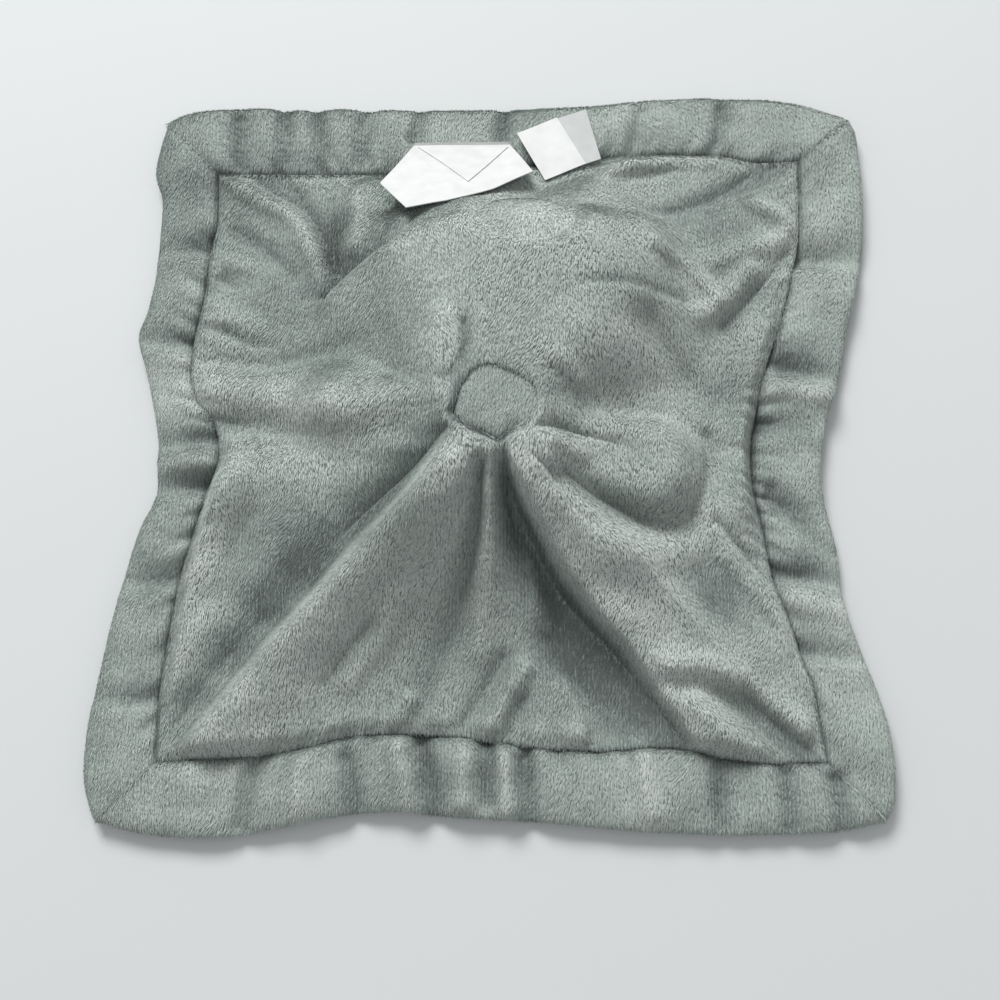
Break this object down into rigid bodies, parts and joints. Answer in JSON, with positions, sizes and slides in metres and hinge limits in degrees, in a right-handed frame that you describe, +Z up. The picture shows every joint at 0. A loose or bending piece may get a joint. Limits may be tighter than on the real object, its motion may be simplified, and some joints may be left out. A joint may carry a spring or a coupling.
{
  "type": "comfort blanket lovey",
  "caption": "Square plush comfort blanket with mitred borders, lying face down over the small stuffed bear sewn to its gathered middle.",
  "frame": {"origin": "middle of the blanket's box, at the height of the surface that it lies on", "axes": "+Z up out of the blanket's back, +Y towards the edge with the labels, +X to the right seen from above"},
  "size_m": [0.346, 0.333, 0.0605],
  "materials": {
    "plush": "short-pile plush, grey-green",
    "cream_plush": "short-pile plush, cream",
    "satin": "woven satin ribbon, soft gloss",
    "thread": "embroidery thread, satin stitch",
    "filling": "fibre filling, matt"
  },
  "bodies": {
    "blanket": {"back_panel": "plush", "front_panel": "plush", "border_top": "plush", "border_right": "plush", "border_bottom": "plush", "border_left": "plush", "neck_patch": "plush", "neck": "plush", "gathering_thread": "thread", "care_label_tail": "satin"},
    "head": {"head_skin": "plush", "head_filling": "filling", "muzzle": "cream_plush", "nose": "thread", "eye_left": "thread", "eye_right": "thread", "mouth_stitch": "thread", "ear_left": "plush", "ear_right": "plush", "ear_lining_left": "cream_plush", "ear_lining_right": "cream_plush"},
    "left_arm": {"arm_left": "plush", "arm_filling_left": "filling"},
    "right_arm": {"arm_right": "plush", "arm_filling_right": "filling"},
    "care_label": {"care_label_flap": "satin"},
    "size_labels": {"size_label_front": "satin", "size_label_back": "satin"}
  },
  "joints": [
    {"name": "neck_tilt", "type": "hinge", "parent": "blanket", "child": "head", "pos_m": [0.00285, 0.01032, 0.0356], "axis": [-1, 0, 0], "range_deg": [0, 35]},
    {"name": "left_arm_swing", "type": "hinge", "parent": "blanket", "child": "left_arm", "pos_m": [-0.01565, -0.00068, 0.01963], "axis": [-0.3746, -0.9272, 0], "range_deg": [0, 70]},
    {"name": "right_arm_swing", "type": "hinge", "parent": "blanket", "child": "right_arm", "pos_m": [0.02135, -0.00068, 0.01963], "axis": [0.2419, 0.9703, 0], "range_deg": [0, 70]},
    {"name": "care_label_turn", "type": "hinge", "parent": "blanket", "child": "care_label", "pos_m": [-0.01282, 0.14026, 0.011], "axis": [-0.9994, -0.0349, 0], "range_deg": [0, 140]},
    {"name": "size_label_turn", "type": "hinge", "parent": "blanket", "child": "size_labels", "pos_m": [0.03204, 0.13101, 0.0178], "axis": [0.9397, 0.342, 0], "range_deg": [0, 120]}
  ]
}
